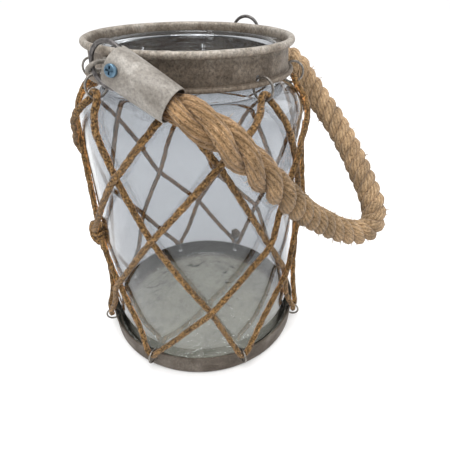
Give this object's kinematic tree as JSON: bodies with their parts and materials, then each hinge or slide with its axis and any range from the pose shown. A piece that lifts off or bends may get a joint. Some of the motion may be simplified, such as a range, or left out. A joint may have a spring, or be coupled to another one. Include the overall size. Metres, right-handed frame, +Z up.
{
  "type": "hanging lantern",
  "caption": "Clear glass jar lantern in a galvanised collar and tray, wrapped in a jute net laced through wire rings, with a thick jute rope bail held in metal ferrules.",
  "frame": {"origin": "middle of the tray's underside", "axes": "+Z up the jar's axis; X roughly along the line through the two bail rings, -X at the near ferrule; the bail lies down on the -Y side"},
  "size_m": [0.2177, 0.2621, 0.2781],
  "materials": {
    "glass": "clear, smooth",
    "zinc": "weathered galvanised, matt with fine speckle",
    "ferrule": "light galvanised, mottled, satin",
    "wire": "zinc-plated wire, satin",
    "screw": "blue zinc, bright",
    "jute": "braided natural jute cord",
    "rope": "three-strand natural jute rope, hairy"
  },
  "bodies": {
    "lantern": {"glass_jar": "glass", "neck_collar": "zinc", "base_tray": "zinc", "net_ring_top_1": "wire", "net_ring_base_1": "wire", "net_ring_top_2": "wire", "net_ring_base_2": "wire", "net_ring_top_3": "wire", "net_ring_base_3": "wire", "net_ring_top_4": "wire", "net_ring_base_4": "wire", "net_ring_top_5": "wire", "net_ring_base_5": "wire", "net_ring_top_6": "wire", "net_ring_base_6": "wire", "net_ring_top_7": "wire", "net_ring_base_7": "wire", "net_ring_top_8": "wire", "net_ring_base_8": "wire", "net_cord_1": "jute", "net_cord_2": "jute", "net_cord_3": "jute", "net_cord_4": "jute", "lug_near": "zinc", "lug_rivet_near_1": "zinc", "lug_rivet_near_2": "zinc", "lug_far": "zinc", "lug_rivet_far_1": "zinc", "lug_rivet_far_2": "zinc", "knot_side": "jute", "knot_base": "jute"},
    "bail_rings": {"bail_ring_near": "wire", "bail_ring_far": "wire"},
    "bail": {"ferrule_near": "ferrule", "ferrule_far": "ferrule", "ferrule_screw_near": "screw", "ferrule_screw_far": "screw", "handle_rope": "rope"}
  },
  "joints": [
    {"name": "ring_swing", "type": "hinge", "parent": "lantern", "child": "bail_rings", "pos_m": [0.0015, 0.01, 0.2624], "axis": [-0.9997, -0.0232, 0], "range_deg": [0, 60]},
    {"name": "bail_lift", "type": "hinge", "parent": "bail_rings", "child": "bail", "pos_m": [0.0015, -0.00257, 0.26223], "axis": [-0.9995, -0.0234, 0.0192], "range_deg": [0, 90]}
  ]
}
